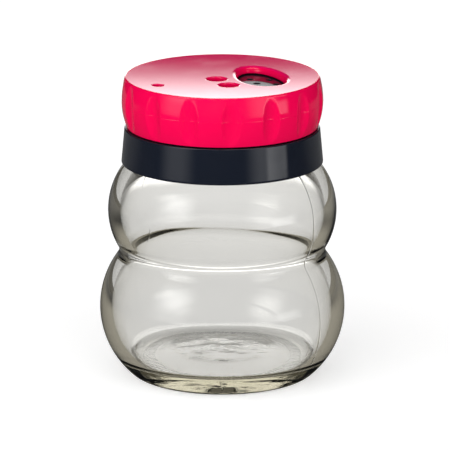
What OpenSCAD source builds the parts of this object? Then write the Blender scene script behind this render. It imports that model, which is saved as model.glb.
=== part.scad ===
// Salt shaker: a glass jar with two bulges, a screw collar with a sifter deck, and a
// selector dial that snaps over the deck and turns to choose an outlet.
// Millimetres, +Z up, origin at the centre of the base, front towards -Y.

/* [Glass jar] */
// Radius of the lower bulge at its widest
lower_r = 36.5; // [33:0.5:42]
// Height of the lower bulge's widest ring above the table
lower_z = 20.9; // [19:0.1:24]
// Profile radius of the lower bulge's side
lower_curve = 26; // [24:0.5:30]
// Radius of the upper bulge at its widest
upper_r = 34; // [31.5:0.5:38]
// Height from the lower bulge's widest ring to the upper one's
bulge_spacing = 29.7; // [27:0.1:34]
// Profile radius of the upper bulge's side
upper_curve = 21.2; // [19.5:0.1:24]
// Radius of the groove between the bulges
waist_fillet = 3.2; // [1:0.1:6]
// Radius of the outer edge of the base
base_fillet = 6; // [4:0.5:9]
// Glass thickness of the sides and neck
wall = 3.6; // [2.8:0.1:4.2]
// Height of the cavity's floor above the table
floor_z = 7; // [5:0.5:8]
// Radius of the cavity's floor corner
floor_fillet = 3; // [2:0.5:5]
// Height of the hollow under the base
punt_h = 1.2; // [0.5:0.1:2]
// Width of the flat ring that the jar rests on
rest_ring_w = 3; // [2:0.5:5]

/* [Neck and thread] */
// Outer radius of the neck between the threads
neck_r = 26.3; // [24.5:0.1:28]
// Height of the neck from its foot to the rim
neck_h = 6.2; // [5.6:0.1:9]
// Radius where the shoulder runs into the neck
shoulder_fillet = 1.2; // [0.6:0.1:2]
// Rounding of the rim
rim_round = 0.6; // [0.3:0.1:0.9]
// Rise of the thread in one turn
thread_pitch = 3; // [2.6:0.1:3.4]
// Turns of the glass thread
thread_turns = 1.15; // [0.9:0.05:1.25]
// How far the thread stands out
thread_depth = 1.05; // [0.7:0.05:1.4]
// Width of the thread at its root
thread_root_w = 1.5; // [1.2:0.1:1.6]
// Width of the thread at its crest
thread_crest_w = 0.7; // [0.4:0.1:0.9]
// Turns of the collar's thread
collar_thread_turns = 1; // [0.6:0.05:1.05]
// Radial clearance between the two threads
thread_gap = 0.35; // [0.25:0.05:0.6]

/* [Seal ring] */
// Thickness of the seal ring
seal_t = 0.8; // [0.5:0.1:1.6]
// How far the seal ring stays inside the edges of the rim
seal_inset = 0.2; // [0.1:0.05:0.5]

/* [Screw collar] */
// Thickness of the collar's shelf above the seal
shelf_t = 1.2; // [0.8:0.1:2]
// How far the skirt hangs below the foot of the neck
skirt_drop = 2.4; // [1.6:0.1:3]
// Skirt thickness at its top edge
skirt_wall = 1.35; // [1:0.05:2]
// Skirt thickness at its lower lip
lip_wall = 1; // [0.7:0.1:1.6]
// Gap between the lower lip and the glass shoulder
shoulder_gap = 0.7; // [0.5:0.1:1.4]
// Height of the taper inside the lower lip
lip_taper_h = 1; // [0.6:0.1:1.6]
// Gap between the turret and the neck's outer face, looking down
turret_offset = 0.3; // [0:0.05:0.6]
// Wall thickness of the turret under the deck
turret_wall = 2; // [1.4:0.1:2.6]
// Height of the deck above the shelf
turret_h = 12.8; // [11:0.05:15]
// Thickness of the sifter deck
deck_t = 1.5; // [1:0.1:2.2]
// How far the snap bead stands out of the turret
bead_depth = 0.5; // [0.4:0.05:0.7]
// Height of the snap bead
bead_h = 1.4; // [1:0.1:2]
// Height of the snap bead's middle above the shelf
bead_z = 4; // [3:0.1:6]
// Rounding of the collar's edges
collar_edge = 0.3; // [0.1:0.05:0.5]

/* [Selector dial] */
// Gap between the dial's lower edge and the collar's shelf
dial_lift = 0.4; // [0.3:0.1:1.2]
// Gap between the dial's top plate and the deck
deck_gap = 0.25; // [0.2:0.05:0.6]
// Radial running gap between the dial and the turret
dial_gap = 0.3; // [0.2:0.05:0.45]
// Thickness of the dial's top plate at its rim
top_t = 2.25; // [1.8:0.05:3]
// How far the middle of the dial's top lies below its rim
top_dish = 0.35; // [0.1:0.05:0.6]
// Dial wall at the parting line
dial_wall = 3; // [2.8:0.1:4]
// Dial wall at the lower edge
dial_foot_wall = 1.6; // [1:0.1:2]
// Dial wall at the top edge
dial_top_wall = 2.1; // [1.6:0.1:2.7]
// Height of the parting line above the dial's lower edge
parting_h = 7.7; // [6.5:0.1:9]
// Rounding of the dial's top edge
dial_edge = 0.5; // [0.2:0.1:1]
// Number of finger flutes
flute_count = 15; // [9:1:18]
// Radius of a finger flute
flute_r = 4.6; // [3.5:0.1:6]
// How far outside the dial's top and lower edges a flute runs out
flute_runout = 0.1; // [0:0.05:0.4]
// Turn of the flutes from the front
flute_turn = 5; // [-12:1:12]

/* [Outlets] */
// Width of the oval window
window_w = 12.6; // [11:0.1:13.5]
// Length of the oval window
window_l = 24.2; // [22:0.1:26]
// Share by which the oval window narrows towards its far end
window_taper = 0.11; // [0:0.01:0.2]
// Margin from the turret's inner wall to the oval window
window_margin = 7; // [6:0.1:8]
// Place of the oval window round the dial
window_angle = 5.1; // [2:0.1:9]
// Turn of the oval window's long axis
window_turn = 15.9; // [12:0.1:20]
// Diameter of each outlet of the pair
pair_d = 5.8; // [5.2:0.1:6.2]
// Rib between the oval window and the pair
outlet_rib = 3.2; // [2.6:0.1:4]
// Rib between the two outlets of the pair
pair_rib = 2.8; // [2.2:0.1:3.6]
// Diameter of the single outlet
single_d = 3.4; // [2.8:0.1:4]
// Place of the single outlet round the dial
single_angle = 211; // [205:1:217]
// Diameter of a sifter hole
sift_d = 2; // [1.4:0.1:2.4]
// Spacing of the sifter holes
sift_pitch = 5.8; // [5:0.05:6.6]
// Margin from the edge of the window above to a sifter hole
sift_margin = 0.2; // [0.1:0.1:1.5]
// Margin from the turret's inner wall to the hole under the single outlet
single_margin = 1.5; // [1:0.1:2]

/* [Hidden] */
$fn = 128;

glass_colour = [0.86, 0.87, 0.84, 0.4];
seal_colour = [0.88, 0.87, 0.83];
collar_colour = [0.11, 0.13, 0.17];
dial_colour = [1, 0.04, 0.31];

// Degrees between the points of an arc or oval
arc_step = 5;
// Degrees between the sections of a thread
thread_step = 10;
// Degrees over which a thread rises at each end
thread_lead = 30;
// How far a thread's root is buried in its wall
thread_bury = 0.5;
// How far the low ends of a thread lie under the wall's surface
thread_sink = 0.2;
// Overshoot of a cutter past the face it cuts
cut_over = 1;
// The two holes of the pair lie in this direction from each other
pair_turn = 114.1;
// Direction from the window's near end to the pair
pair_from_window = 207.7;
// Turn of the sifter grid
sift_turn = -9;
// Turns of the dial that bring the pair and the single outlet over their holes
pair_setting = 118.6;
single_setting = 270;
// Rows of the sifter grid that are tried each way from its centre
sift_rows = 4;

// Centres of the profile's arcs, as [radius, height]
lower_c = [lower_r - lower_curve, lower_z];
upper_c = [upper_r - upper_curve, lower_z + bulge_spacing];
waist_c = crossing(lower_c, lower_curve + waist_fillet, upper_c, upper_curve + waist_fillet);
base_c = [lower_c[0] + leg(lower_curve - base_fillet, lower_z - base_fillet), base_fillet];
floor_c = [lower_c[0] + leg(lower_curve - wall - floor_fillet, lower_z - floor_z - floor_fillet),
    floor_z + floor_fillet];
shoulder_r = neck_r + shoulder_fillet;
shoulder_c = [shoulder_r,
    upper_c[1] + leg(upper_curve + shoulder_fillet, shoulder_r - upper_c[0])];

// Directions in which one arc passes into the next
base_dir = heading(lower_c, base_c);
floor_dir = heading(lower_c, floor_c);
waist_low_dir = heading(lower_c, waist_c);
waist_up_dir = heading(upper_c, waist_c);
shoulder_dir = heading(upper_c, shoulder_c);

// Resting ring and the hollow inside it
rest_in_r = base_c[0] - rest_ring_w;
punt_r = (rest_in_r * rest_in_r + punt_h * punt_h) / (2 * punt_h);
punt_half = asin(rest_in_r / punt_r);

// Neck, thread and seal
foot_z = shoulder_c[1];
rim_z = foot_z + neck_h;
mouth_r = neck_r - wall;
thread_z = foot_z + (neck_h - rim_round - thread_pitch * thread_turns) / 2;
thread_crest_r = neck_r + thread_depth;
collar_thread_z = thread_z - thread_pitch / 2;
collar_thread_from = 360 * (foot_z + thread_root_w / 2 - collar_thread_z) / thread_pitch;
collar_valley_r = thread_crest_r + thread_gap;
collar_crest_r = neck_r + thread_gap;

// Collar levels and radii
shelf_low_z = rim_z + seal_t;
shelf_z = shelf_low_z + shelf_t;
lip_z = foot_z - skirt_drop;
lip_in_r = upper_c[0] + leg(upper_curve, lip_z - upper_c[1]) + shoulder_gap;
lip_out_r = lip_in_r + lip_wall;
skirt_top_r = collar_valley_r + skirt_wall;
turret_r = neck_r + turret_offset;
turret_in_r = turret_r - turret_wall;
deck_z = shelf_z + turret_h;
bead_mid_z = shelf_z + bead_z;

// Dial levels and radii
dial_low_z = shelf_z + dial_lift;
plate_low_z = deck_z + deck_gap;
dial_top_z = plate_low_z + top_t;
parting_z = dial_low_z + parting_h;
dial_in_r = turret_r + dial_gap;
dial_r = dial_in_r + dial_wall;
dial_foot_r = dial_in_r + dial_foot_wall;
dial_top_r = dial_in_r + dial_top_wall;
groove_r = turret_r + bead_depth + dial_gap;
dish_rim_r = dial_top_r - dial_edge;
dish_r = (dish_rim_r * dish_rim_r + top_dish * top_dish) / (2 * top_dish);
flute_run = dial_top_z - dial_edge - dial_low_z;
flute_lean = atan2(dial_top_r - dial_foot_r, flute_run);

// Outlets, as [x, y] on the dial
window_c = (turret_in_r - window_w / 2 - window_margin) * [cos(window_angle), sin(window_angle)];
window_axis = [-sin(window_turn), cos(window_turn)];
window_side = [cos(window_turn), sin(window_turn)];
window_near = window_c - window_axis * (window_l - window_w) / 2;
pair_near = window_near + (window_w / 2 + outlet_rib + pair_d / 2)
    * [cos(pair_from_window), sin(pair_from_window)];
pair_far = pair_near + (pair_d + pair_rib) * [cos(pair_turn), sin(pair_turn)];
single_at_r = turret_in_r - sift_d / 2 - single_margin;
single_at = single_at_r * [cos(single_angle), sin(single_angle)];

// Holes of the deck under the far outlet of the pair and under the single outlet
pair_hole = turned(pair_far, pair_setting);
single_hole = turned(single_at, single_setting);

// Sifter holes: the points of a triangular grid that lie inside the window. One of them comes
// under the near outlet of the pair.
sift_origin = turned(pair_near, pair_setting);
sift_u = sift_pitch * [cos(sift_turn), sin(sift_turn)];
sift_v = sift_pitch * [cos(sift_turn + 60), sin(sift_turn + 60)];
sift_holes = [
    for (i = [-sift_rows : sift_rows], j = [-sift_rows : sift_rows])
        let (p = sift_origin + i * sift_u + j * sift_v)
        if (in_window(p, sift_d / 2 + sift_margin)) p
];

// Other leg of a right triangle
function leg(long_side, short_side) = sqrt(long_side * long_side - short_side * short_side);

// Direction from one point to another
function heading(from, to) = atan2(to[1] - from[1], to[0] - from[0]);

// A point turned about the axis
function turned(p, a) = [p[0] * cos(a) - p[1] * sin(a), p[0] * sin(a) + p[1] * cos(a)];

// Crossing of two circles, the one further from the axis
function crossing(c1, r1, c2, r2) =
    let (d = norm(c2 - c1),
         along = (r1 * r1 - r2 * r2 + d * d) / (2 * d),
         u = (c2 - c1) / d)
    c1 + along * u + leg(r1, along) * [u[1], -u[0]];

// Points along an arc
function arc(centre, radius, from, to) =
    let (steps = max(2, ceil(abs(to - from) / arc_step)))
    [for (i = [0 : steps])
        let (a = from + (to - from) * i / steps)
        centre + radius * [cos(a), sin(a)]];

// Share of the window's width that is left at a share of its half length
function narrowed(along) = 1 - window_taper * along;

// Whether a point lies in the window, that far or more from its edge
function in_window(p, inset) =
    let (along = (p - window_c) * window_axis / (window_l / 2 - inset))
    norm([along, (p - window_c) * window_side / (window_w / 2 - inset) / narrowed(along)]) <= 1;

// Arc that leaves a point upwards or downwards and swings in by a step in radius
function barrel_radius(rise, step) = (rise * rise + step * step) / (2 * step);

// A thread ridge that climbs by thread_pitch a turn. It stands from root_r to crest_r,
// outwards or inwards, and sinks into the wall at both ends.
module thread_ridge(z0, from, turns, root_r, crest_r) {
    side = crest_r > root_r ? 1 : -1;
    sweep = 360 * turns;
    steps = ceil(sweep / thread_step);
    root_at = root_r - side * thread_bury;
    sunk_r = root_r - side * thread_sink;
    points = [
        for (i = [0 : steps])
            let (a = from + sweep * i / steps,
                 z = z0 + thread_pitch * a / 360,
                 rise = min(1, (a - from) / thread_lead, (from + sweep - a) / thread_lead),
                 top_r = sunk_r + (crest_r - sunk_r) * rise)
            for (q = [[root_at, -thread_root_w / 2], [top_r, -thread_crest_w / 2],
                      [top_r, thread_crest_w / 2], [root_at, thread_root_w / 2]])
                [q[0] * cos(a), q[0] * sin(a), z + q[1]]
    ];
    skin = [
        for (i = [0 : steps - 1], j = [0 : 3])
            let (p = 4 * i + j, q = 4 * i + (j + 1) % 4)
            for (t = [[p, q, q + 4], [p, q + 4, p + 4]]) t
    ];
    last = 4 * steps;
    ends = [[0, 2, 1], [0, 3, 2], [last, last + 1, last + 2], [last, last + 2, last + 3]];
    faces = concat(skin, ends);
    polyhedron(points, side > 0 ? faces : [for (f = faces) [f[2], f[1], f[0]]]);
}

// The window's oval, as high as given
module window_oval(height) {
    linear_extrude(height)
        polygon([for (a = [0 : arc_step : 359])
            window_c + window_axis * sin(a) * window_l / 2
                + window_side * cos(a) * narrowed(sin(a)) * window_w / 2]);
}

module glass_jar() {
    outside = concat(
        arc([0, punt_h - punt_r], punt_r, 90, 90 - punt_half),
        arc(base_c, base_fillet, -90, base_dir),
        arc(lower_c, lower_curve, base_dir, waist_low_dir),
        arc(waist_c, waist_fillet, 180 + waist_low_dir, 180 + waist_up_dir),
        arc(upper_c, upper_curve, waist_up_dir, shoulder_dir),
        arc(shoulder_c, shoulder_fillet, 180 + shoulder_dir, 180),
        arc([neck_r - rim_round, rim_z - rim_round], rim_round, 0, 90)
    );
    inside = concat(
        arc([mouth_r + rim_round, rim_z - rim_round], rim_round, 90, 180),
        arc(shoulder_c, shoulder_fillet + wall, 180, 180 + shoulder_dir),
        arc(upper_c, upper_curve - wall, shoulder_dir, waist_up_dir),
        arc(waist_c, waist_fillet + wall, 180 + waist_up_dir, 180 + waist_low_dir),
        arc(lower_c, lower_curve - wall, waist_low_dir, floor_dir),
        arc(floor_c, floor_fillet, floor_dir, -90),
        [[0, floor_z]]
    );
    color(glass_colour) {
        rotate_extrude() polygon(concat(outside, inside));
        thread_ridge(thread_z, 0, thread_turns, neck_r, thread_crest_r);
    }
}

module seal_ring() {
    color(seal_colour)
        translate([0, 0, rim_z])
            difference() {
                cylinder(r = neck_r - seal_inset, h = seal_t);
                translate([0, 0, -cut_over])
                    cylinder(r = mouth_r + seal_inset, h = seal_t + 2 * cut_over);
            }
}

module screw_collar() {
    shell = concat(
        [[collar_valley_r, shelf_low_z], [collar_valley_r, lip_z + lip_taper_h], [lip_in_r, lip_z]],
        arc([lip_out_r - collar_edge, lip_z + collar_edge], collar_edge, -90, 0),
        arc([skirt_top_r - collar_edge, shelf_z - collar_edge], collar_edge, 0, 90),
        [[turret_r, shelf_z], [turret_r, bead_mid_z - bead_h / 2],
         [turret_r + bead_depth, bead_mid_z], [turret_r, bead_mid_z + bead_h / 2]],
        arc([turret_r - collar_edge, deck_z - collar_edge], collar_edge, 0, 90),
        [[0, deck_z], [0, deck_z - deck_t],
         [turret_in_r, deck_z - deck_t], [turret_in_r, shelf_low_z]]
    );
    color(collar_colour) {
        difference() {
            rotate_extrude() polygon(shell);
            for (p = concat(sift_holes, [pair_hole, single_hole]))
                translate([p[0], p[1], deck_z - deck_t - cut_over])
                    cylinder(d = sift_d, h = deck_t + 2 * cut_over);
        }
        thread_ridge(collar_thread_z, collar_thread_from, collar_thread_turns,
            collar_valley_r, collar_crest_r);
    }
}

module selector_dial() {
    up_rise = dial_top_z - dial_edge - parting_z;
    up_radius = barrel_radius(up_rise, dial_r - dial_top_r);
    low_radius = barrel_radius(parting_h, dial_r - dial_foot_r);
    up_angle = asin(up_rise / up_radius);
    low_angle = asin(parting_h / low_radius);
    shell = concat(
        [[dial_in_r, dial_low_z]],
        arc([dial_r - low_radius, parting_z], low_radius, -low_angle, 0),
        arc([dial_r - up_radius, parting_z], up_radius, 0, up_angle),
        arc([dish_rim_r, dial_top_z - dial_edge], dial_edge, 0, 90),
        arc([0, dial_top_z - top_dish + dish_r], dish_r, asin(dish_rim_r / dish_r) - 90, -90),
        [[0, plate_low_z], [dial_in_r, plate_low_z],
         [dial_in_r, bead_mid_z + bead_h / 2 + dial_gap], [groove_r, bead_mid_z],
         [dial_in_r, bead_mid_z - bead_h / 2 - dial_gap]]
    );
    color(dial_colour)
        difference() {
            rotate_extrude() polygon(shell);
            for (i = [0 : flute_count - 1])
                rotate([0, 0, flute_turn - 90 + 360 * i / flute_count])
                    translate([dial_foot_r + flute_runout, 0, dial_low_z])
                        rotate([0, flute_lean, 0])
                            translate([flute_r, 0, -cut_over])
                                cylinder(r = flute_r, h = flute_run + 2 * cut_over);
            translate([0, 0, plate_low_z - cut_over]) {
                window_oval(top_t + 2 * cut_over);
                for (p = [pair_near, pair_far])
                    translate([p[0], p[1], 0]) cylinder(d = pair_d, h = top_t + 2 * cut_over);
                translate([single_at[0], single_at[1], 0])
                    cylinder(d = single_d, h = top_t + 2 * cut_over);
            }
        }
}

glass_jar();
seal_ring();
screw_collar();
selector_dial();
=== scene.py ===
import math

import bmesh
import bpy
import numpy as np
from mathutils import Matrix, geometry


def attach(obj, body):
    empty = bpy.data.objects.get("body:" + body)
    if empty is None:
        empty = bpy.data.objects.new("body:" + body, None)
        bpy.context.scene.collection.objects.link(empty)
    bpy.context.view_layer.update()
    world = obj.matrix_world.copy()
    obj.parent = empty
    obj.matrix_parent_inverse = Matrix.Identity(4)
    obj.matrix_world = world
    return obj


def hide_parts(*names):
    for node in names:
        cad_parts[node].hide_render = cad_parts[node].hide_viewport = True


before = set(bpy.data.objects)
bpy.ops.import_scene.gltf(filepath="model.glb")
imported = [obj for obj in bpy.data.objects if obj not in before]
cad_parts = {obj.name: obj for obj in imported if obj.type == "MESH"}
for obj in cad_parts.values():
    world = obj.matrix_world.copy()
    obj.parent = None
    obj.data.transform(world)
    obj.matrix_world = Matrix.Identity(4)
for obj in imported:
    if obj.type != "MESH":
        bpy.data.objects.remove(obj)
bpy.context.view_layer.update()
mm = 0.001  # shapes below are worked out in millimetres
print("frame loaded:", ", ".join(sorted(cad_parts)))


# Camera

cameraView = {
    "distance": 1800,  # from the lens to the aim point
    "elevation": 14.7,
    "aimHeight": 45.4,
    "aimSide": 0.8,
    "frameWidth": 134.0,  # width of the picture at the aim point
    "sensor": 36,
    "clipEnd": 50000,
}


def placeCamera(view):
    tilt = math.radians(view["elevation"])
    data = bpy.data.cameras.new("photoCamera")
    data.sensor_width = view["sensor"]
    data.lens = view["sensor"] * view["distance"] / view["frameWidth"]
    data.clip_end = view["clipEnd"] * mm
    camera = bpy.data.objects.new("photoCamera", data)
    bpy.context.scene.collection.objects.link(camera)
    back = view["distance"] * math.cos(tilt)
    rise = view["distance"] * math.sin(tilt)
    camera.location = (view["aimSide"] * mm, -back * mm, (view["aimHeight"] + rise) * mm)
    camera.rotation_euler = (math.pi / 2 - tilt, 0, 0)
    bpy.context.scene.camera = camera
    print("camera: lens", round(data.lens), "mm")


placeCamera(cameraView)


# Shape helpers

fullTurn = 2 * np.pi
quarterTurn = np.pi / 2
touching = 0.001  # a point this close to a face lies on it
weldGap = 0.002  # points closer than this become one
shortestEdge = 0.0001
sameSpot = 1e-6  # points of a plate closer than this are one
onEdge = 1e-9  # rounding error at the edge of a hole
plateClear = 0.45  # filling points keep this share of their spacing away from a border
facingUp = 0.7  # least upward part of a normal on a top face


def arcPoints(centre, radius, start, stop, count):
    # (r, z) points on a circle, from start to stop in degrees
    a = np.radians(np.linspace(start, stop, count))
    return np.column_stack((centre[0] + radius * np.cos(a), centre[1] + radius * np.sin(a)))


def linePoints(start, stop, count):
    # (r, z) points on a straight line
    t = np.linspace(0, 1, count)[:, None]
    return (1 - t) * np.asarray(start, float) + t * np.asarray(stop, float)


def heading(start, stop):
    # direction from one point to another, in degrees
    return math.degrees(math.atan2(stop[1] - start[1], stop[0] - start[0]))


def otherLeg(longSide, shortSide):
    # third side of a right triangle
    return math.sqrt(longSide ** 2 - shortSide ** 2)


def circleCrossing(c1, r1, c2, r2):
    # the crossing of two circles that is further from the axis
    gap = math.dist(c1, c2)
    along = (r1 * r1 - r2 * r2 + gap * gap) / (2 * gap)
    ux, uz = (c2[0] - c1[0]) / gap, (c2[1] - c1[1]) / gap
    side = otherLeg(r1, along)
    return (c1[0] + along * ux + side * uz, c1[1] + along * uz - side * ux)


def smoothStep(low, high, x):
    # 0 up to low, 1 from high on, and an S-shaped rise between
    t = np.clip((x - low) / (high - low), 0, 1)
    return t * t * (3 - 2 * t)


def smoothMin(a, b, blend):
    # the smaller of two surfaces, with a rounded crease of that size
    h = np.clip(0.5 + 0.5 * (b - a) / blend, 0, 1)
    return b + (a - b) * h - blend * h * (1 - h)


def ringGrid(radius, height, angles):
    # each row is a ring round the Z axis: x = r cos(a), y = r sin(a)
    radius, height, angles = np.broadcast_arrays(radius, height, angles)
    grid = np.stack((radius * np.cos(angles), radius * np.sin(angles), height), axis=-1)
    return grid.reshape(-1, 3)


def gridFaces(rows, columns):
    # quads between neighbouring rows, closed round the columns
    i = np.arange(rows - 1)[:, None]
    j = np.arange(columns)[None, :]
    k = (j + 1) % columns
    quads = np.stack(np.broadcast_arrays(
        i * columns + j, i * columns + k, (i + 1) * columns + k, (i + 1) * columns + j), axis=-1)
    return quads.reshape(-1, 4)


def threadHeight(angles, heights, thread):
    # trapezoid ridge on a helix: z climbs by the pitch each turn, and each end fades out
    turn = np.degrees(np.mod(angles, fullTurn))[None, :]
    ridge = np.zeros((len(heights), turn.shape[1]))
    sweep = 360 * thread["turns"]
    lap = 360 * math.floor(thread["start"] / 360)
    for k in range(3):  # laps that the ridge can reach
        a = turn + lap + 360 * k - thread["start"]
        middle = thread["z"] + thread["pitch"] * (a + thread["start"]) / 360
        away = np.abs(heights[:, None] - middle)
        flank = (thread["rootWidth"] / 2 - away) / ((thread["rootWidth"] - thread["crestWidth"]) / 2)
        fade = np.clip(np.minimum(a, sweep - a) / thread["lead"], 0, 1)
        ridge = np.maximum(ridge, np.clip(flank, 0, 1) * fade)
    return ridge * thread["depth"]


def circleOutline(centre, radius, count):
    # points of a round hole and the directions away from its middle
    a = np.linspace(0, fullTurn, count, endpoint=False)
    away = np.column_stack((np.cos(a), np.sin(a)))
    return np.asarray(centre) + radius * away, away


def ovalOutline(centre, width, length, taper, turn, count):
    # points of an oval that narrows towards its far end, and the directions square to its edge
    a = np.linspace(0, fullTurn, count, endpoint=False)
    side = np.array((math.cos(math.radians(turn)), math.sin(math.radians(turn))))
    along = np.array((-side[1], side[0]))
    across = width / 2 * np.cos(a) * (1 - taper * np.sin(a))
    points = np.asarray(centre) + across[:, None] * side + (length / 2 * np.sin(a))[:, None] * along
    step = np.roll(points, -1, axis=0) - np.roll(points, 1, axis=0)
    away = np.column_stack((step[:, 1], -step[:, 0]))
    return points, away / np.linalg.norm(away, axis=1)[:, None]


def plateFill(rim, outlines, spacing):
    # triangles of a plate inside a round rim and outside the hole outlines, with rings of points between
    loops = [rim, *outlines]
    edges = []
    first = 0
    for loop in loops:
        n = np.arange(len(loop))
        edges += np.column_stack((first + n, first + (n + 1) % len(loop))).tolist()
        first += len(loop)
    border = np.vstack(loops)
    reach = np.hypot(*rim.T).min()
    rings = np.arange(spacing, reach, spacing)
    inner = np.vstack([circleOutline((0, 0), r, max(6, round(fullTurn * r / spacing)))[0] for r in rings])
    apart = inner[:, None] - border[None]
    clear = np.min(np.hypot(apart[..., 0], apart[..., 1]), axis=1)
    inner = inner[clear > plateClear * spacing]
    made = geometry.delaunay_2d_cdt(np.vstack((border, inner)).tolist(), edges, [], 0, sameSpot)
    points = np.array([p[:] for p in made[0]])
    faces = np.array(made[2])
    middle = points[faces].mean(axis=1)
    keep = np.ones(len(faces), bool)
    for loop in outlines:
        # a triangle is in a hole if its middle is on the inner side of every edge
        step = np.roll(loop, -1, axis=0) - loop
        off = middle[:, None] - loop[None]
        out = off[..., 0] * step[:, 1] - off[..., 1] * step[:, 0]
        keep &= ~np.all(out < onEdge, axis=1)
    return points, faces[keep]


class ShapeParts:
    # collects patches of one piece, then welds them into a closed mesh
    def __init__(self):
        self.points = []
        self.faces = []
        self.count = 0

    def add(self, points, faces):
        self.points.append(np.asarray(points, float))
        self.faces += (np.asarray(faces) + self.count).tolist()
        self.count += len(points)

    def addRings(self, radius, height, angles):
        radius, height, angles = np.broadcast_arrays(radius, height, angles)
        self.add(ringGrid(radius, height, angles), gridFaces(*radius.shape))

    def addSweep(self, outline, away, offsets, heights):
        # copies of a hole's outline, pushed out by each offset at each height
        rings = outline[None] + np.asarray(offsets)[:, None, None] * away[None]
        points = np.dstack((rings, np.broadcast_to(heights, rings.shape[:2])))
        self.add(points.reshape(-1, 3), gridFaces(*rings.shape[:2]))

    def build(self, name, sharpAngle=40):
        mesh = bpy.data.meshes.new(name)
        mesh.from_pydata(np.vstack(self.points) * mm, [], self.faces)
        work = bmesh.new()
        work.from_mesh(mesh)
        bmesh.ops.remove_doubles(work, verts=work.verts, dist=weldGap * mm)
        bmesh.ops.dissolve_degenerate(work, edges=work.edges, dist=shortestEdge * mm)
        bmesh.ops.recalc_face_normals(work, faces=work.faces)
        openEdges = sum(not e.is_manifold for e in work.edges)
        work.to_mesh(mesh)
        work.free()
        mesh.shade_smooth()
        mesh.set_sharp_from_angle(angle=math.radians(sharpAngle))
        piece = bpy.data.objects.new(name, mesh)
        bpy.context.scene.collection.objects.link(piece)
        print(name, "faces:", len(mesh.polygons), "open edges:", openEdges)
        return piece


def dishNormal(q, depth, radius):
    # direction square to a shallow dish that sinks by depth from that radius to its middle
    slope = -2 * depth / radius ** 2
    n = np.column_stack((slope * q[:, 0], slope * q[:, 1], np.ones(len(q))))
    return n / np.linalg.norm(n, axis=1)[:, None]


def setTrueNormals(piece, isOnFace, trueNormal):
    # gives the corners on a dished face their exact normals
    mesh = piece.data
    count = len(mesh.loops)
    normals = np.zeros(count * 3, np.float32)
    mesh.corner_normals.foreach_get("vector", normals)
    normals = normals.reshape(-1, 3)
    corner = np.zeros(count, np.int32)
    mesh.loops.foreach_get("vertex_index", corner)
    place = np.zeros(len(mesh.vertices) * 3, np.float32)
    mesh.vertices.foreach_get("co", place)
    place = place.reshape(-1, 3)[corner].astype(float) / mm
    chosen = isOnFace(place) & (normals[:, 2] > facingUp)
    normals[chosen] = trueNormal(place[chosen])
    mesh.normals_split_custom_set(normals.tolist())


# Glass jar

jarShape = {
    "lowerR": 36.5, "lowerZ": 20.9, "lowerCurve": 26.0,
    "upperR": 34.0, "spacing": 29.7, "upperCurve": 21.2,
    "waistFillet": 3.2, "waistInside": 8.0, "baseFillet": 6.0, "shoulderFillet": 1.2,
    "wall": 3.6, "floorZ": 7.0, "floorFillet": 3.0,
    "puntHeight": 1.2, "restRing": 3.0,
    "neckR": 26.3, "neckHeight": 6.2, "rimRound": 0.6, "sharpAngle": 60,
    "seamAngles": (-37.5, 142.5), "seamHeight": 0.05, "seamWidth": 0.22,
    "seamStart": (1.5, 5), "seamEnd": 2,  # where a seam fades in, and how far below the neck it fades out
    "ripple": 0.08, "rippleStart": (1, 10), "rippleEnd": 8,  # uneven inside wall, faded at both ends
    "waves": ((1.0, 2, 0.7, 20.0), (0.6, 3, 2.1, -9.0), (0.4, 5, 0.0, 5.0)),  # share, lobes, phase, climb
    "waveRise": 7.0,
    "swell": 0.5, "swellEdge": 0.6,  # raised middle of the cavity floor
    "swellLobes": (0.25, 3, 0.4), "swellRings": (0.2, 7, 2),  # share, lobes, phase; share, rings, twist
    "columns": 216, "seamColumns": 13, "seamSpread": 1,  # finer columns within a degree of each seam
    "rows": {"punt": 16, "base": 18, "lower": 56, "waist": 20, "upper": 48, "shoulder": 10,
             "neck": 50, "rim": 8, "shoulderIn": 14, "waistIn": 30, "floorEdge": 20, "floor": 24},
    "thread": {"turns": 1.15, "start": 0, "pitch": 3.0, "depth": 1.05,
               "rootWidth": 1.5, "crestWidth": 0.7, "lead": 30},
}


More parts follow.
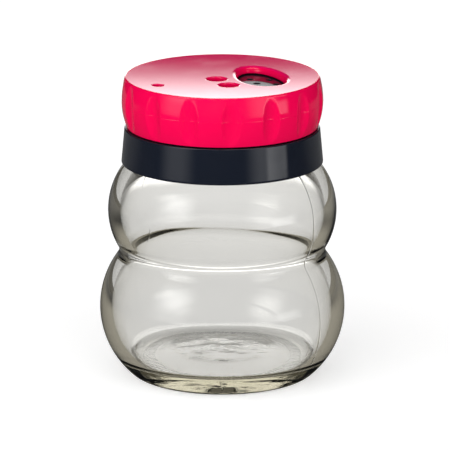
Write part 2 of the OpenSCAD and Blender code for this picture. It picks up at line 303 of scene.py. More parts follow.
def makeJar(s):
    # one closed profile of arcs and lines, outside then inside, turned round the axis
    rows = s["rows"]
    wall = s["wall"]
    rim = s["rimRound"]
    lower = (s["lowerR"] - s["lowerCurve"], s["lowerZ"])
    upper = (s["upperR"] - s["upperCurve"], s["lowerZ"] + s["spacing"])
    lowerIn = s["lowerCurve"] - wall
    upperIn = s["upperCurve"] - wall
    waist = circleCrossing(lower, s["lowerCurve"] + s["waistFillet"],
                           upper, s["upperCurve"] + s["waistFillet"])
    waistIn = circleCrossing(lower, lowerIn + s["waistInside"], upper, upperIn + s["waistInside"])
    baseReach = otherLeg(s["lowerCurve"] - s["baseFillet"], s["lowerZ"] - s["baseFillet"])
    base = (lower[0] + baseReach, s["baseFillet"])
    floorRise = s["floorZ"] + s["floorFillet"]
    floor = (lower[0] + otherLeg(lowerIn - s["floorFillet"], s["lowerZ"] - floorRise), floorRise)
    shoulderR = s["neckR"] + s["shoulderFillet"]
    shoulder = (shoulderR, upper[1] + otherLeg(s["upperCurve"] + s["shoulderFillet"], shoulderR - upper[0]))
    footZ = shoulder[1]
    rimZ = footZ + s["neckHeight"]
    mouthR = s["neckR"] - wall
    restIn = base[0] - s["restRing"]
    puntR = (restIn ** 2 + s["puntHeight"] ** 2) / (2 * s["puntHeight"])
    puntHalf = math.degrees(math.asin(restIn / puntR))
    baseDir = heading(lower, base)
    floorDir = heading(lower, floor)
    waistLow = heading(lower, waist)
    waistUp = heading(upper, waist)
    inLow = heading(lower, waistIn)
    inUp = heading(upper, waistIn)
    shoulderDir = heading(upper, shoulder)
    outside = np.vstack((
        arcPoints((0, s["puntHeight"] - puntR), puntR, 90, 90 - puntHalf, rows["punt"]),
        arcPoints(base, s["baseFillet"], -90, baseDir, rows["base"]),
        arcPoints(lower, s["lowerCurve"], baseDir, waistLow, rows["lower"])[1:],
        arcPoints(waist, s["waistFillet"], 180 + waistLow, 180 + waistUp, rows["waist"])[1:],
        arcPoints(upper, s["upperCurve"], waistUp, shoulderDir, rows["upper"])[1:],
        arcPoints(shoulder, s["shoulderFillet"], 180 + shoulderDir, 180, rows["shoulder"])[1:],
        linePoints((s["neckR"], footZ), (s["neckR"], rimZ - rim), rows["neck"])[1:],
        arcPoints((s["neckR"] - rim, rimZ - rim), rim, 0, 90, rows["rim"])[1:],
    ))
    inside = np.vstack((
        arcPoints((mouthR + rim, rimZ - rim), rim, 90, 180, rows["rim"]),
        arcPoints(shoulder, s["shoulderFillet"] + wall, 180, 180 + shoulderDir, rows["shoulderIn"]),
        arcPoints(upper, upperIn, shoulderDir, inUp, rows["upper"])[1:],
        arcPoints(waistIn, s["waistInside"], 180 + inUp, 180 + inLow, rows["waistIn"])[1:],
        arcPoints(lower, lowerIn, inLow, floorDir, rows["lower"])[1:],
        arcPoints(floor, s["floorFillet"], floorDir, -90, rows["floorEdge"])[1:],
        linePoints((floor[0], s["floorZ"]), (0, s["floorZ"]), rows["floor"])[1:],
    ))
    turns = np.linspace(0, fullTurn, s["columns"], endpoint=False)
    finer = np.linspace(-s["seamSpread"], s["seamSpread"], s["seamColumns"])
    seams = np.radians(s["seamAngles"])[:, None] + np.radians(finer)[None, :]
    angles = np.unique(np.round(np.mod(np.concatenate((turns, seams.ravel())), fullTurn), 9))
    radius = np.repeat(outside[:, :1], len(angles), axis=1)
    height = outside[:, 1:]
    neck = (height[:, 0] >= footZ) & (height[:, 0] <= rimZ - rim)
    threadZ = footZ + (s["neckHeight"] - rim - s["thread"]["pitch"] * s["thread"]["turns"]) / 2
    radius[neck] += threadHeight(angles, height[neck, 0], dict(s["thread"], z=threadZ))
    # mould seams: a fine ridge up each side
    body = smoothStep(*s["seamStart"], height) * (1 - smoothStep(footZ - s["seamEnd"], footZ, height))
    for seam in np.radians(s["seamAngles"]):
        off = np.abs(np.mod(angles - seam + np.pi, fullTurn) - np.pi)[None, :] * radius
        radius += s["seamHeight"] * body * np.exp(-(off / s["seamWidth"]) ** 2)
    # the inside wall is a little uneven, as blown glass is: sines of the angle that lean with the height
    inR = np.repeat(inside[:, :1], len(angles), axis=1)
    inZ = inside[:, 1:]
    span = smoothStep(*(s["floorZ"] + rise for rise in s["rippleStart"]), inZ)
    span = span * (1 - smoothStep(footZ - s["rippleEnd"], footZ, inZ))
    waves = [share * np.sin(lobes * angles + phase + inZ / climb)
             for share, lobes, phase, climb in s["waves"]]
    wave = waves[0] * np.cos(inZ / s["waveRise"]) + sum(waves[1:])
    inR = inR + s["ripple"] * span * wave
    # the cavity floor swells towards its middle, in lobes and rings
    mid = np.clip(1 - inR / floor[0], 0, 1)
    onFloor = inZ <= s["floorZ"] + touching
    share, lobes, phase = s["swellLobes"]
    ringShare, rings, twist = s["swellRings"]
    uneven = 1 + share * np.sin(lobes * angles + phase) + ringShare * np.cos(rings * mid + twist * angles)
    swell = s["swell"] * smoothStep(0, s["swellEdge"], mid) * uneven
    inH = inZ + np.where(onFloor, swell * mid, 0)
    inH[-1] = inH[-1].mean()
    parts = ShapeParts()
    heights = np.vstack((np.repeat(height, len(angles), axis=1), inH))
    parts.addRings(np.vstack((radius, inR)), heights, angles)
    return parts.build("clearJar", s["sharpAngle"])


jar = makeJar(jarShape)


# Outlets of the dial and holes of the deck, as (x, y) places

outletShape = {
    "windowWidth": 12.6, "windowLength": 24.2, "windowTaper": 0.11,
    "windowR": 11.3, "windowAngle": 5.1, "windowTurn": 15.9,
    "pairD": 5.8, "pairWay": 207.7, "windowRib": 3.2, "pairRib": 2.8,
    "pairTurn": 114.1, "pairSetting": 118.6,
    "singleD": 3.4, "singleR": 22.1, "singleAngle": 211, "singleSetting": 270,
    "siftD": 2.0, "siftPitch": 5.8, "siftTurn": -9, "siftMargin": 0.2, "siftReach": 4,
}


def onCircle(radius, degrees):
    # place at that distance and angle from the axis
    return radius * np.array((math.cos(math.radians(degrees)), math.sin(math.radians(degrees))))


def turned(place, degrees):
    # a place after a turn about the axis
    c, s = onCircle(1, degrees)
    return np.array((c * place[0] - s * place[1], s * place[0] + c * place[1]))


def outletPlaces(s):
    middle = onCircle(s["windowR"], s["windowAngle"])
    half = onCircle((s["windowLength"] - s["windowWidth"]) / 2, s["windowTurn"] + 90)
    # the pair stands off the near end of the window by a rib
    pairGap = s["windowWidth"] / 2 + s["windowRib"] + s["pairD"] / 2
    pairNear = middle - half + onCircle(pairGap, s["pairWay"])
    pairFar = pairNear + onCircle(s["pairD"] + s["pairRib"], s["pairTurn"])
    single = onCircle(s["singleR"], s["singleAngle"])
    # sifter holes: the points of a triangular grid that lie well inside the window
    steps = np.arange(-s["siftReach"], s["siftReach"] + 1)
    i, j = np.meshgrid(steps, steps, indexing="ij")
    first = onCircle(s["siftPitch"], s["siftTurn"])
    second = onCircle(s["siftPitch"], s["siftTurn"] + 60)
    grid = i[..., None] * first + j[..., None] * second + turned(pairNear, s["pairSetting"])
    grid = grid.reshape(-1, 2)
    inset = s["siftD"] / 2 + s["siftMargin"]
    along = (grid - middle) @ onCircle(1, s["windowTurn"] + 90) / (s["windowLength"] / 2 - inset)
    across = (grid - middle) @ onCircle(1, s["windowTurn"]) / (s["windowWidth"] / 2 - inset)
    sift = grid[np.hypot(along, across / (1 - s["windowTaper"] * along)) <= 1]
    deck = np.vstack((sift, turned(pairFar, s["pairSetting"]), turned(single, s["singleSetting"])))
    return middle, pairNear, pairFar, single, deck


windowAt, pairNear, pairFar, singleAt, siftHoles = outletPlaces(outletShape)


# Screw collar with its sifter deck

collarShape = {
    "lipZ": 65.1, "shelfLowZ": 74.5, "shelfZ": 75.7, "deckZ": 88.5, "deckThickness": 1.5,
    "lipInR": 28.97, "lipOutR": 29.96, "skirtTopR": 29.05, "valleyR": 27.7,
    "turretR": 26.6, "turretInR": 24.6, "lipTaper": 1.0,
    "beadZ": 79.7, "beadHeight": 1.4, "beadDepth": 0.5,
    "edge": 0.3, "innerEdge": 0.4, "holeEdge": 0.15,
    "dish": 0.1,  # how far the deck's middle lies below its edge
    "columns": 240, "holePoints": 32, "topGrid": 1.5, "underGrid": 2.0,
    "rows": {"flat": 4, "edge": 7, "skirt": 24, "corner": 6, "bead": 15, "turret": 6,
             "thread": 80, "hole": 6},
    "thread": {"turns": 1.0, "start": 141, "pitch": 3.0, "depth": 1.05, "z": 67.077,
               "rootWidth": 1.5, "crestWidth": 0.7, "lead": 30},
}


def deckTop(s, x, y):
    # the deck rises with the square of the distance from its middle
    return s["deckZ"] - s["dish"] * (1 - (x * x + y * y) / (s["turretR"] - s["edge"]) ** 2)


def makeCollar(s):
    # profiles outside and inside, turned round the axis, with the thread's ridge on the inside wall
    angles = np.linspace(0, fullTurn, s["columns"], endpoint=False)
    rows = s["rows"]
    edge = s["edge"]
    inner = s["innerEdge"]
    deckLow = s["deckZ"] - s["deckThickness"]
    beadLow = s["beadZ"] - s["beadHeight"] / 2
    beadHigh = s["beadZ"] + s["beadHeight"] / 2
    taperZ = s["lipZ"] + s["lipTaper"]
    skirtHigh = s["shelfZ"] - edge
    deckR = s["turretR"] - edge
    outside = np.vstack((
        linePoints((s["lipInR"], s["lipZ"]), (s["lipOutR"] - edge, s["lipZ"]), rows["flat"]),
        arcPoints((s["lipOutR"] - edge, s["lipZ"] + edge), edge, -90, 0, rows["edge"])[1:],
        linePoints((s["lipOutR"], s["lipZ"] + edge), (s["skirtTopR"], skirtHigh), rows["skirt"])[1:],
        arcPoints((s["skirtTopR"] - edge, skirtHigh), edge, 0, 90, rows["edge"])[1:],
        linePoints((s["skirtTopR"] - edge, s["shelfZ"]),
                   (s["turretR"] + edge, s["shelfZ"]), rows["flat"])[1:],
        arcPoints((s["turretR"] + edge, s["shelfZ"] + edge), edge, 270, 180, rows["corner"])[1:],
        linePoints((s["turretR"], s["shelfZ"] + edge), (s["turretR"], beadLow), rows["flat"])[1:],
    ))
    # the bead swells with the square of a cosine over its height
    t = np.linspace(-1, 1, rows["bead"])[1:]
    bead = np.column_stack((s["turretR"] + s["beadDepth"] * np.cos(t * quarterTurn) ** 2,
                            s["beadZ"] + t * s["beadHeight"] / 2))
    upper = np.vstack((
        linePoints((s["turretR"], beadHigh), (s["turretR"], s["deckZ"] - edge), rows["turret"])[1:],
        arcPoints((deckR, s["deckZ"] - edge), edge, 0, 90, rows["edge"])[1:],
    ))
    profile = np.vstack((outside, bead, upper))
    under = np.vstack((
        arcPoints((s["turretInR"] - inner, deckLow - inner), inner, 90, 0, rows["corner"]),
        linePoints((s["turretInR"], deckLow - inner), (s["turretInR"], s["shelfLowZ"]), rows["turret"])[1:],
        linePoints((s["turretInR"], s["shelfLowZ"]), (s["valleyR"], s["shelfLowZ"]), rows["flat"])[1:],
        linePoints((s["valleyR"], s["shelfLowZ"]), (s["valleyR"], taperZ), rows["thread"])[1:],
        linePoints((s["valleyR"], taperZ), (s["lipInR"], s["lipZ"]), rows["flat"])[1:],
    ))
    inR = np.repeat(under[:, :1], len(angles), axis=1)
    wallRows = np.abs(under[:, 0] - s["valleyR"]) < touching
    inR[wallRows] -= threadHeight(angles, under[wallRows, 1], s["thread"])
    parts = ShapeParts()
    parts.addRings(profile[:, :1], profile[:, 1:], angles)
    parts.addRings(inR, under[:, 1:], angles)
    # deck: top and under faces round the holes, and a rounded wall in each hole
    holes = [circleOutline(p, outletShape["siftD"] / 2, s["holePoints"]) for p in siftHoles]
    ease = s["holeEdge"]
    topRim = circleOutline((0, 0), deckR, s["columns"])[0]
    lowRim = circleOutline((0, 0), s["turretInR"] - inner, s["columns"])[0]
    flat, faces = plateFill(topRim, [p + ease * a for p, a in holes], s["topGrid"])
    parts.add(np.column_stack((flat, deckTop(s, flat[:, 0], flat[:, 1]))), faces)
    flat, faces = plateFill(lowRim, [p for p, a in holes], s["underGrid"])
    parts.add(np.column_stack((flat, np.full(len(flat), deckLow))), faces)
    turn = np.linspace(0, quarterTurn, rows["hole"])
    offsets = ease * (1 - np.sin(turn))
    drop = ease * (1 - np.cos(turn))
    for p, a in holes:
        ring = p[None] + offsets[:, None, None] * a[None]
        wall = deckTop(s, ring[..., 0], ring[..., 1]) - drop[:, None]
        parts.addSweep(p, a, np.append(offsets, 0), np.vstack((wall, np.full(len(p), deckLow))))
    piece = parts.build("navyCollar")

    def onDeck(q):
        level = np.abs(q[:, 2] - deckTop(s, q[:, 0], q[:, 1])) < touching
        return level & (np.hypot(q[:, 0], q[:, 1]) < deckR + touching)

    setTrueNormals(piece, onDeck, lambda q: dishNormal(q, s["dish"], deckR))
    return piece


collar = makeCollar(collarShape)


# Selector dial

dialShape = {
    "lowZ": 76.1, "plateLowZ": 88.75, "topZ": 91.0, "partingZ": 83.8,
    "innerR": 26.9, "widestR": 29.9, "footR": 28.5, "topR": 29.0,
    "edge": 0.5, "footEdge": 0.3, "grooveR": 27.4, "grooveZ": 79.7, "grooveHalf": 1.0,
    "dish": 0.35,  # how far the top's middle lies below its rim
    "fluteCount": 15, "fluteR": 4.6, "fluteTurn": 5, "fluteRunout": 0.1, "fluteBlend": 0.3,
    "fluteFade": 0.6,  # height over which the flutes fade at each end
    "partingLine": 0.035, "partingWidth": 0.09, "partingReach": 2.5,
    "windowEdge": 1.8, "pairEdge": 0.6, "singleEdge": 0.4, "outletFoot": 0.2,
    "columns": 960, "windowPoints": 160, "outletPoints": 64, "topGrid": 1.2, "underGrid": 2.0,
    "rows": {"side": 52, "parting": 11, "foot": 7, "rim": 10, "wall": 4, "lip": 10, "ease": 4},
}


def dialTop(s, x, y):
    # the top face rises with the square of the distance from its middle
    return s["topZ"] - s["dish"] * (1 - (x * x + y * y) / (s["topR"] - s["edge"]) ** 2)


def barrelRadius(s, z):
    # two arcs that meet, both upright, at the parting line
    top = s["topZ"] - s["edge"]
    up = ((top - s["partingZ"]) ** 2 + (s["widestR"] - s["topR"]) ** 2) / (2 * (s["widestR"] - s["topR"]))
    rise = s["partingZ"] - s["lowZ"] - s["footEdge"]
    low = (rise ** 2 + (s["widestR"] - s["footR"]) ** 2) / (2 * (s["widestR"] - s["footR"]))
    curve = np.where(z > s["partingZ"], up, low)
    return s["widestR"] - curve + np.sqrt(curve ** 2 - (z - s["partingZ"]) ** 2)


def fluteCut(s, angles, z):
    # distance from the axis to the nearest leaning cylinder, or past the dial between the cylinders
    run = s["topZ"] - s["edge"] - s["lowZ"]
    middle = s["footR"] + s["fluteRunout"] + (z - s["lowZ"]) * (s["topR"] - s["footR"]) / run + s["fluteR"]
    step = fullTurn / s["fluteCount"]
    first = math.radians(s["fluteTurn"] - 90)
    off = np.mod(angles - first + step / 2, step) - step / 2
    across = middle * np.sin(off)
    inside = np.abs(across) < s["fluteR"]
    depth = np.sqrt(np.where(inside, s["fluteR"] ** 2 - across ** 2, 0))
    return np.where(inside, middle * np.cos(off) - depth, s["widestR"] + s["fluteR"])


def makeDial(s):
    # the side is the barrel's radius over angle and height, cut by the flutes with a rounded crease
    angles = np.linspace(0, fullTurn, s["columns"], endpoint=False)
    rows = s["rows"]
    edge = s["edge"]
    topEdgeZ = s["topZ"] - edge
    lowEdgeZ = s["lowZ"] + s["footEdge"]
    finer = np.linspace(-s["partingReach"], s["partingReach"], rows["parting"]) * s["partingWidth"]
    z = np.unique(np.concatenate((np.linspace(lowEdgeZ, topEdgeZ, rows["side"]), s["partingZ"] + finer)))
    z = z[:, None]
    side = smoothMin(barrelRadius(s, z), fluteCut(s, angles[None], z), s["fluteBlend"])
    side = side + s["partingLine"] * np.exp(-((z - s["partingZ"]) / s["partingWidth"]) ** 2)
    fade = s["fluteFade"]
    blendIn = smoothStep(lowEdgeZ, lowEdgeZ + fade, z) * (1 - smoothStep(topEdgeZ - fade, topEdgeZ, z))
    side = blendIn * side + (1 - blendIn) * barrelRadius(s, z)
    foot = np.vstack((
        [(s["innerR"], s["lowZ"])],
        arcPoints((s["footR"] - s["footEdge"], lowEdgeZ), s["footEdge"], -90, 0, rows["foot"]),
    ))
    rimR = s["topR"] - edge
    rim = arcPoints((rimR, topEdgeZ), edge, 0, 90, rows["rim"])
    rim[:, 1] += (dialTop(s, rimR, 0) - rim[-1, 1]) * np.linspace(0, 1, rows["rim"])
    parts = ShapeParts()
    parts.addRings(foot[:, :1], foot[:, 1:], angles)
    parts.addRings(side, z, angles)
    parts.addRings(rim[:, :1], rim[:, 1:], angles)
    grooveTop = s["grooveZ"] + s["grooveHalf"]
    grooveLow = s["grooveZ"] - s["grooveHalf"]
    inside = np.vstack((
        linePoints((s["innerR"], s["plateLowZ"]), (s["innerR"], grooveTop), rows["wall"]),
        [(s["grooveR"], s["grooveZ"])],
        linePoints((s["innerR"], grooveLow), (s["innerR"], s["lowZ"]), rows["wall"]),
    ))
    parts.addRings(inside[:, :1], inside[:, 1:], angles)
    # outlets: rounded at the top, eased at the bottom
    o = outletShape
    window = ovalOutline(windowAt, o["windowWidth"], o["windowLength"], o["windowTaper"], o["windowTurn"],
                         s["windowPoints"])
    holes = [
        (*window, s["windowEdge"]),
        (*circleOutline(pairNear, o["pairD"] / 2, s["outletPoints"]), s["pairEdge"]),
        (*circleOutline(pairFar, o["pairD"] / 2, s["outletPoints"]), s["pairEdge"]),
        (*circleOutline(singleAt, o["singleD"] / 2, s["outletPoints"]), s["singleEdge"]),
    ]
    lowEase = s["outletFoot"]
    topRim = circleOutline((0, 0), rimR, s["columns"])[0]
    lowRim = circleOutline((0, 0), s["innerR"], s["columns"])[0]
    flat, faces = plateFill(topRim, [p + ease * a for p, a, ease in holes], s["topGrid"])
    parts.add(np.column_stack((flat, dialTop(s, flat[:, 0], flat[:, 1]))), faces)
    flat, faces = plateFill(lowRim, [p + lowEase * a for p, a, ease in holes], s["underGrid"])
    parts.add(np.column_stack((flat, np.full(len(flat), s["plateLowZ"]))), faces)
    thick = s["topZ"] - s["plateLowZ"]
    turn = np.linspace(0, quarterTurn, rows["lip"])
    lowTurn = np.linspace(0, quarterTurn, rows["ease"])
    for p, a, ease in holes:
        offsets = np.concatenate((ease * (1 - np.sin(turn)), lowEase * (1 - np.cos(lowTurn))))
        share = np.concatenate((thick - ease * (1 - np.cos(turn)), lowEase * (1 - np.sin(lowTurn)))) / thick
        ring = p[None] + offsets[:, None, None] * a[None]
        top = dialTop(s, ring[..., 0], ring[..., 1])
        parts.addSweep(p, a, offsets, s["plateLowZ"] + share[:, None] * (top - s["plateLowZ"]))
    piece = parts.build("pinkDial")

    def onTop(q):
        level = np.abs(q[:, 2] - dialTop(s, q[:, 0], q[:, 1])) < touching
        return level & (np.hypot(q[:, 0], q[:, 1]) < rimR + touching)

    setTrueNormals(piece, onTop, lambda q: dishNormal(q, s["dish"], rimR))
    return piece


dial = makeDial(dialShape)
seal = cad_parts["seal_ring"]


# Shader wiring

class Wire:
    # a socket that takes part in Python sums, each of which adds a Math node
    def __init__(self, graph, socket):
        self.graph = graph
        self.socket = socket

    def __add__(self, other):
        return self.graph.math("ADD", self, other)

    def __radd__(self, other):
        return self.graph.math("ADD", other, self)

    def __sub__(self, other):
        return self.graph.math("SUBTRACT", self, other)

    def __rsub__(self, other):
        return self.graph.math("SUBTRACT", other, self)

    def __mul__(self, other):
        return self.graph.math("MULTIPLY", self, other)

    def __rmul__(self, other):
        return self.graph.math("MULTIPLY", other, self)

    def __truediv__(self, other):
        return self.graph.math("DIVIDE", self, other)

    def __pow__(self, other):
        return self.graph.math("POWER", self, other)


class Outputs:
    # a node's outputs, by number or name, as wires
    def __init__(self, graph, node):
        self.graph = graph
        self.node = node

    def __getitem__(self, key):
        return Wire(self.graph, self.node.outputs[key])


class Graph:
    def __init__(self, tree):
        self.tree = tree
        tree.nodes.clear()

    def node(self, kind, settings=None, values=None):
        made = self.tree.nodes.new(kind)
        for key, value in (settings or {}).items():
            setattr(made, key, value)
        for key, value in (values or {}).items():
            if isinstance(value, Wire):
                self.tree.links.new(value.socket, made.inputs[key])
            else:
                made.inputs[key].default_value = value
        return Outputs(self, made)

    def math(self, operation, *values):
        return self.node("ShaderNodeMath", {"operation": operation}, dict(enumerate(values)))[0]

    def blend(self, factor, first, second):
        # a colour between two colours
        return self.node("ShaderNodeMix", {"data_type": "RGBA"}, {0: factor, 6: first, 7: second})[2]

    def smooth(self, low, high, value):
        return self.node("ShaderNodeMapRange", {"interpolation_type": "SMOOTHSTEP"},
                         {0: value, 1: low, 2: high, 3: 0.0, 4: 1.0})[0]

    def rise(self, edges, value):
        # 0 up to the first edge and 1 from the second on, both in millimetres
        return self.smooth(edges[0] * mm, edges[1] * mm, value)

    def noise(self, place, scale, detail=2.0, rough=0.5):
        return self.node("ShaderNodeTexNoise", None,
                         {"Vector": place, "Scale": scale, "Detail": detail, "Roughness": rough})["Fac"]

    def place(self):
        return self.node("ShaderNodeTexCoord")["Object"]

    def split(self, place):
        return self.node("ShaderNodeSeparateXYZ", None, {0: place})

    def fromAxis(self, xyz):
        # distance from the Z axis
        return (xyz[0] * xyz[0] + xyz[1] * xyz[1]) ** 0.5

    def bump(self, height, depth, strength=1.0, **below):
        # a normal from a height; below may hold the Normal of the bump under it
        return self.node("ShaderNodeBump", None,
                         {"Strength": strength, "Distance": depth * mm, "Height": height, **below})["Normal"]


def newMaterial(name):
    material = bpy.data.materials.new(name)
    material.use_nodes = True
    return material, Graph(material.node_tree)


def finishMaterial(graph, shader, **more):
    graph.node("ShaderNodeOutputMaterial", None, {"Surface": shader, **more})


# Finishes: lengths in millimetres, noise scales per metre

mouldedSkin = {
    "ior": 1.5, "flow": 55, "flowDetail": 3,
    "smudge": 130, "smudgeDetail": 4, "smudgeRough": 0.6, "smudgeEdge": (0.45, 0.75),
    "bump": 0.02, "grainDepth": 0.2,
}
pinkFinish = {
    **mouldedSkin,
    # top: a bluer copy of the pink for the top face, painted light from above
    "base": (0.94, 0.0008, 0.085, 1), "deep": (0.9, 0.0005, 0.073, 1), "top": (0.9, 0.002, 0.125, 1),
    "topZ": (90.3, 90.7), "topR": (27.9, 28.4),  # heights and reaches over which the painted light on the top fades
    "roughness": 0.08, "spread": 0.04, "grain": 900,
}
navyFinish = {
    **mouldedSkin,
    "base": (0.0075, 0.0105, 0.019, 1), "deep": (0.011, 0.0135, 0.021, 1), "top": (0.009, 0.012, 0.02, 1),
    "topZ": (88.1, 88.5), "topR": (25.7, 26.2),
    "roughness": 0.07, "spread": 0.05, "grain": 1000,
}
glassFinish = {
    "tint": (1, 1, 1, 1), "ior": 1.5, "roughness": 0.0,
    "wave": 55, "waveDepth": 2.0, "waveStrength": 0.02,  # soft waves all over
    "depth": (0.3, 0.27, 0.14, 1), "density": 38,  # colour that thick glass takes on
    "footR": (23.7, 24.3), "footZ": (1.2, 1.4), "footRough": 0.75,  # matt rest ring and the hollow inside it
    "markR": (20.6, 21.0), "marks": 110, "markDepth": 0.3,  # fine marks round that ring
    "floorLow": (6.6, 6.8), "floorHigh": (8.2, 8.4), "floorR": (12, 17),  # bounds of the cavity floor
    "floorGrain": 170, "floorGrainRough": 0.4, "floorDepth": 0.5,
}
sealFinish = {
    "base": (0.74, 0.73, 0.69, 1), "worn": (0.66, 0.65, 0.6, 1), "wear": 90, "wearEdge": (0.4, 0.7),
    "roughness": 0.6, "spread": 0.1, "grain": 700, "detail": 3, "bump": 0.2, "grainDepth": 0.2,
}


def mouldedPlastic(name, f):
    # glossy moulding: flow marks in the colour, a top face in the finish's top colour (on the pink dial a
    # bluer copy, painted light from above), faint smudges in the gloss, and a very fine skin
    material, g = newMaterial(name)
    place = g.place()
    xyz = g.split(place)
    side = g.blend(g.noise(place, f["flow"], f["flowDetail"]), f["base"], f["deep"])
    # where the top colour takes over; on the pink dial it is painted light from above
    onTop = g.rise(f["topZ"], xyz[2]) * (1 - g.rise(f["topR"], g.fromAxis(xyz)))
    patches = g.noise(place, f["smudge"], f["smudgeDetail"], f["smudgeRough"])
    smudge = g.smooth(*f["smudgeEdge"], patches)
    shader = g.node("ShaderNodeBsdfPrincipled", None, {
        "Base Color": g.blend(onTop, side, f["top"]),
        "Roughness": f["roughness"] + f["spread"] * smudge,
        "IOR": f["ior"],
        "Normal": g.bump(g.noise(place, f["grain"]), f["grainDepth"], f["bump"]),
    })
    finishMaterial(g, shader["BSDF"])
    return material


def clearGlass(name, f):
    # clear glass: soft waves, fine marks on the rest ring, an uneven cavity floor and a warm depth
    material, g = newMaterial(name)
    place = g.place()
    xyz = g.split(place)
    reach = g.fromAxis(xyz)
    foot = (1 - g.rise(f["footR"], reach)) * (1 - g.rise(f["footZ"], xyz[2]))
    ring = foot * g.rise(f["markR"], reach)
    mark = g.math("SINE", f["marks"] * g.math("ARCTAN2", xyz[1], xyz[0]))
    floor = g.rise(f["floorLow"], xyz[2]) * (1 - g.rise(f["floorHigh"], xyz[2]))
    floor = floor * (1 - g.rise(f["floorR"], reach))
    grain = g.noise(place, f["floorGrain"], rough=f["floorGrainRough"])
    normal = g.bump(g.noise(place, f["wave"], 1), f["waveDepth"], f["waveStrength"])
    normal = g.bump(ring * mark, f["markDepth"], Normal=normal)
    normal = g.bump(floor * grain, f["floorDepth"], Normal=normal)
    shader = g.node("ShaderNodeBsdfPrincipled", None, {
        "Base Color": f["tint"],
        "Roughness": f["roughness"] + f["footRough"] * foot,
        "IOR": f["ior"],
        "Transmission Weight": 1.0,
        "Normal": normal,
    })
    depth = g.node("ShaderNodeVolumeAbsorption", None, {"Color": f["depth"], "Density": f["density"]})
    finishMaterial(g, shader["BSDF"], Volume=depth["Volume"])
    return material


def softRubber(name, f):
    # matt liner with a fine grain and a few worn patches
    material, g = newMaterial(name)
    place = g.place()
    worn = g.smooth(*f["wearEdge"], g.noise(place, f["wear"], f["detail"]))
    grain = g.noise(place, f["grain"], f["detail"])
    shader = g.node("ShaderNodeBsdfPrincipled", None, {
        "Base Color": g.blend(worn, f["base"], f["worn"]),
        "Roughness": f["roughness"] + f["spread"] * grain,
        "Normal": g.bump(grain, f["grainDepth"], f["bump"]),
    })
    finishMaterial(g, shader["BSDF"])
    return material


def dress(piece, material):
    piece.data.materials.clear()
    piece.data.materials.append(material)


dress(jar, clearGlass("clearGlass", glassFinish))
dress(collar, mouldedPlastic("navyPlastic", navyFinish))
dress(dial, mouldedPlastic("pinkPlastic", pinkFinish))
dress(seal, softRubber("sealRubber", sealFinish))
print("finishes set")


# Pieces on their bodies

def fit(piece, body, node):
    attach(piece, body)
    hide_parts(node)


fit(jar, "jar", "glass_jar")
fit(collar, "collar", "screw_collar")
fit(dial, "dial", "selector_dial")
print("pieces ride:", jar.name, collar.name, dial.name, seal.name)


# Floor and light

floorLook = {
    "radius": 620, "sink": 0.1, "points": 96,
    "white": 0.8, "lift": 0.5,  # lift: how far the seen floor is raised towards white
    "through": 0.88, "under": 0.42, "underR": (25, 35),  # brightness through the glass, and under the jar
    "far": 2.0, "farEdge": (310, 460),  # brighter far away
    "side": 0.22, "sideEdge": (105, 175),  # darker to the left and right of the lit table
    "rimNear": 0.4, "rimLeft": 0.03, "rimRight": 0.16,  # in the rims of the glass: near, far left, far right
    "rimEdge": (100, 190), "rimSide": (-100, 100), "rimTone": (1.0, 0.94, 0.78, 1),
    "mirrored": 0.05, "behind": 0.12, "behindEdge": (100, 250),  # in gloss, and far behind the pieces
}
skyLook = {
    "plain": 0.34, "front": 1.85, "frontWay": (-0.25, -0.97, 0),  # soft light that colours see
    "gloss": 0.01, "through": 0.1,  # dark room in reflections and through glass
    "rim": 0.7, "rimBack": (0.6, 0.8),  # lighter room behind, for light turned back inside the glass
    "backdrop": 3.6, "backdropEdge": (15.5, 9.45),  # bright low wall behind: elevations of its soft edge
    "backdropSide": (0.14, 0.26), "backdropBack": (0.1, 0.4),
    "above": 2.9, "aboveWay": 60, "aboveEdge": (0.652, 0.742),  # what the glass shows of the light above
    # soft boxes: azimuth from the front (right is +), elevation, half width, half height, edge, strength
    "boxes": (
        (-52, 27, 13, 12, 11, 3.0),
        (-54, 4, 15, 14, 11, 0.9),
        (66, -4, 13, 10, 3, 1.6),
        (48, 10, 13, 22, 12, 1.1),
        (0, 82, 30, 8, 6, 4.5),
    ),
    "boxFront": (0.02, 0.1),  # directions this square to a box, or behind it, miss it
}
wholeCount = (0.4, 0.6)  # a step between the counts 0 and 1


def turnedInside(g, path):
    # 1 for light through glass that was turned back inside it at least once
    return g.smooth(*wholeCount, path["Glossy Depth"]) * path["Is Transmission Ray"]


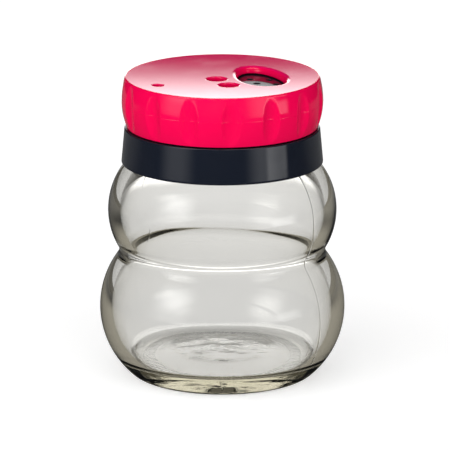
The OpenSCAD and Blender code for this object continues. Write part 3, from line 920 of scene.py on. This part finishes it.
def makeFloor(f):
    # a flat disc just under the rest ring
    angles = np.linspace(0, fullTurn, f["points"], endpoint=False)
    points = ringGrid(f["radius"], -f["sink"], angles)
    mesh = bpy.data.meshes.new("paleFloor")
    mesh.from_pydata(points * mm, [], [list(range(len(points)))])
    floor = bpy.data.objects.new("paleFloor", mesh)
    bpy.context.scene.collection.objects.link(floor)
    material, g = newMaterial("paleFloor")
    path = g.node("ShaderNodeLightPath")
    glossy = path["Is Glossy Ray"]
    through = path["Is Transmission Ray"]
    white, dim, black = ((level, level, level, 1) for level in (f["white"], f["mirrored"], 0))
    tone = g.blend(glossy, g.blend(through, white, black), dim)
    shade = g.node("ShaderNodeBsdfDiffuse", None, {"Color": tone})["BSDF"]
    place = g.place()
    xyz = g.split(place)
    away = g.node("ShaderNodeVectorMath", {"operation": "LENGTH"}, {0: place})["Value"]
    # what clear glass shows
    clear = f["under"] + (f["through"] - f["under"]) * g.rise(f["underR"], away)
    clear = clear + (f["far"] - f["through"]) * g.rise(f["farEdge"], away)
    clear = clear * (1 - (1 - f["side"]) * g.rise(f["sideEdge"], g.math("ABSOLUTE", xyz[0])))
    # what the rims of the glass show
    distant = f["rimLeft"] + (f["rimRight"] - f["rimLeft"]) * g.rise(f["rimSide"], xyz[0])
    rim = f["rimNear"] + (distant - f["rimNear"]) * g.rise(f["rimEdge"], away)
    inRim = turnedInside(g, path)
    seen = clear + inRim * (rim - clear)
    back = g.rise(f["behindEdge"], xyz[1])
    level = f["lift"] * path["Is Camera Ray"] + through * seen + f["behind"] * back * glossy
    colour = g.blend(inRim, (1, 1, 1, 1), f["rimTone"])
    glow = g.node("ShaderNodeEmission", None, {"Color": colour, "Strength": level})["Emission"]
    finishMaterial(g, g.node("ShaderNodeAddShader", None, {0: shade, 1: glow})[0])
    dress(floor, material)


def makeSky(s):
    # light from each direction: one mix for colours, one for gloss and glass, and white for the camera
    world = bpy.data.worlds.new("studio")
    bpy.context.scene.world = world
    world.use_nodes = True
    g = Graph(world.node_tree)
    way = g.node("ShaderNodeTexCoord")["Generated"]
    path = g.node("ShaderNodeLightPath")
    through = path["Is Transmission Ray"]

    def toward(axis):
        # how far a direction points along an axis
        return g.node("ShaderNodeVectorMath", {"operation": "DOT_PRODUCT"}, {0: way, 1: axis})["Value"]

    right = toward((1, 0, 0))
    back = toward((0, 1, 0))
    up = toward((0, 0, 1))
    plain = s["plain"] + s["front"] * g.math("MAXIMUM", toward(s["frontWay"]), 0.0)
    over = math.radians(s["aboveWay"])
    above = g.smooth(*s["aboveEdge"], toward((0, math.cos(over), math.sin(over))))
    top, bottom = (math.sin(math.radians(e)) for e in s["backdropEdge"])
    wall = (1 - g.smooth(bottom, top, up)) * g.smooth(*s["backdropBack"], back)
    wall = wall * (1 - g.smooth(*s["backdropSide"], g.math("ABSOLUTE", right)))
    light = s["above"] * above * through + s["backdrop"] * wall * (1 - through)
    for azimuth, elevation, halfWide, halfTall, soft, power in s["boxes"]:
        a = math.radians(azimuth)
        e = math.radians(elevation)
        facing = toward((math.sin(a) * math.cos(e), -math.cos(a) * math.cos(e), math.sin(e)))
        across = toward((math.cos(a), math.sin(a), 0))
        rising = toward((-math.sin(a) * math.sin(e), math.cos(a) * math.sin(e), math.cos(e)))
        glow = g.smooth(*s["boxFront"], facing)
        for part, half in ((across, halfWide), (rising, halfTall)):
            slope = g.math("ABSOLUTE", part / g.math("MAXIMUM", facing, s["boxFront"][0]))
            inner = math.tan(math.radians(half - soft))
            outer = math.tan(math.radians(half + soft))
            glow = glow * (1 - g.smooth(inner, outer, slope))
        light = light + power * glow
    inRim = turnedInside(g, path) * g.smooth(*s["rimBack"], back)
    studio = light + s["gloss"] + through * (s["through"] - s["gloss"]) + inRim * s["rim"]
    unseen = plain + g.math("MAXIMUM", path["Is Glossy Ray"], through) * (studio - plain)
    strength = unseen + path["Is Camera Ray"] * (1 - unseen)
    shader = g.node("ShaderNodeBackground", None, {"Color": (1, 1, 1, 1), "Strength": strength})
    g.node("ShaderNodeOutputWorld", None, {"Surface": shader["Background"]})


makeFloor(floorLook)
makeSky(skyLook)
bpy.context.scene.view_settings.view_transform = "Standard"
print("stage lit")
